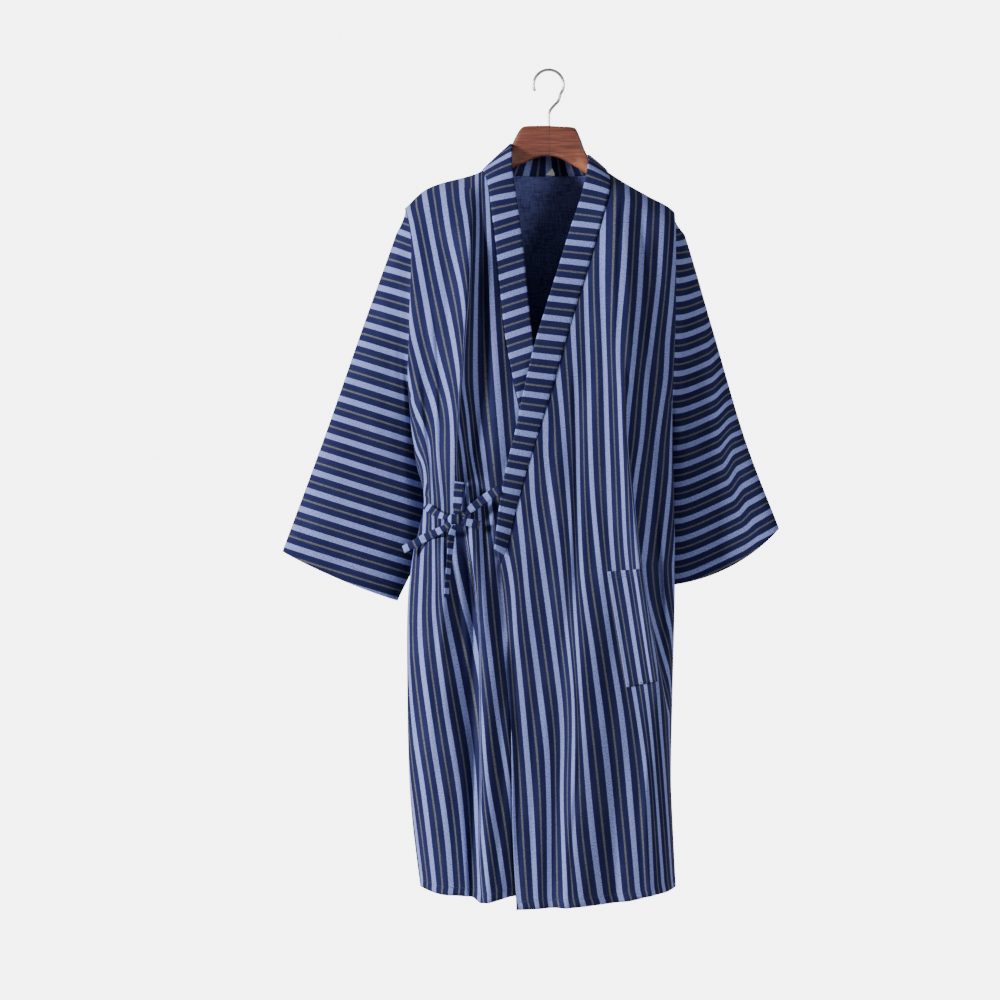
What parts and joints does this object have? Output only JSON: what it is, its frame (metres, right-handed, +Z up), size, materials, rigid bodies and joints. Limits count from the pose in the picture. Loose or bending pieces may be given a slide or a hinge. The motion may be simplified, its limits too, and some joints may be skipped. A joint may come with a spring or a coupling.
{
  "type": "kimono robe on a hanger",
  "caption": "Striped cotton kimono robe with crossed fronts, side bow, patch pocket and wide sleeves, hung on a wooden hanger by its hook.",
  "frame": {"origin": "inside top of the hanger's hook, where the rail carries it", "axes": "+X to the viewer's right (the wearer's left side), -Y is the front of the robe, +Z up"},
  "size_m": [0.7778, 0.1529, 1.3033],
  "materials": {
    "robe_stripe": "matt woven cotton, navy with light blue and thin olive stripes",
    "label_white": "plain blank woven label",
    "hanger_wood": "red-brown stained, satin varnish",
    "hook_metal": "bright drawn wire"
  },
  "bodies": {
    "root": {"back": "robe_stripe", "front_right": "robe_stripe", "front_left": "robe_stripe", "sleeve_right": "robe_stripe", "sleeve_left": "robe_stripe", "collar_band": "robe_stripe", "pocket": "robe_stripe", "tie_front": "robe_stripe", "tie_side": "robe_stripe", "bow_knot": "robe_stripe", "bow_loop_up": "robe_stripe", "bow_loop_side": "robe_stripe", "tail_left": "robe_stripe", "tail_down": "robe_stripe", "neck_label": "label_white", "hanger": "hanger_wood", "hook": "hook_metal"}
  },
  "joints": []
}
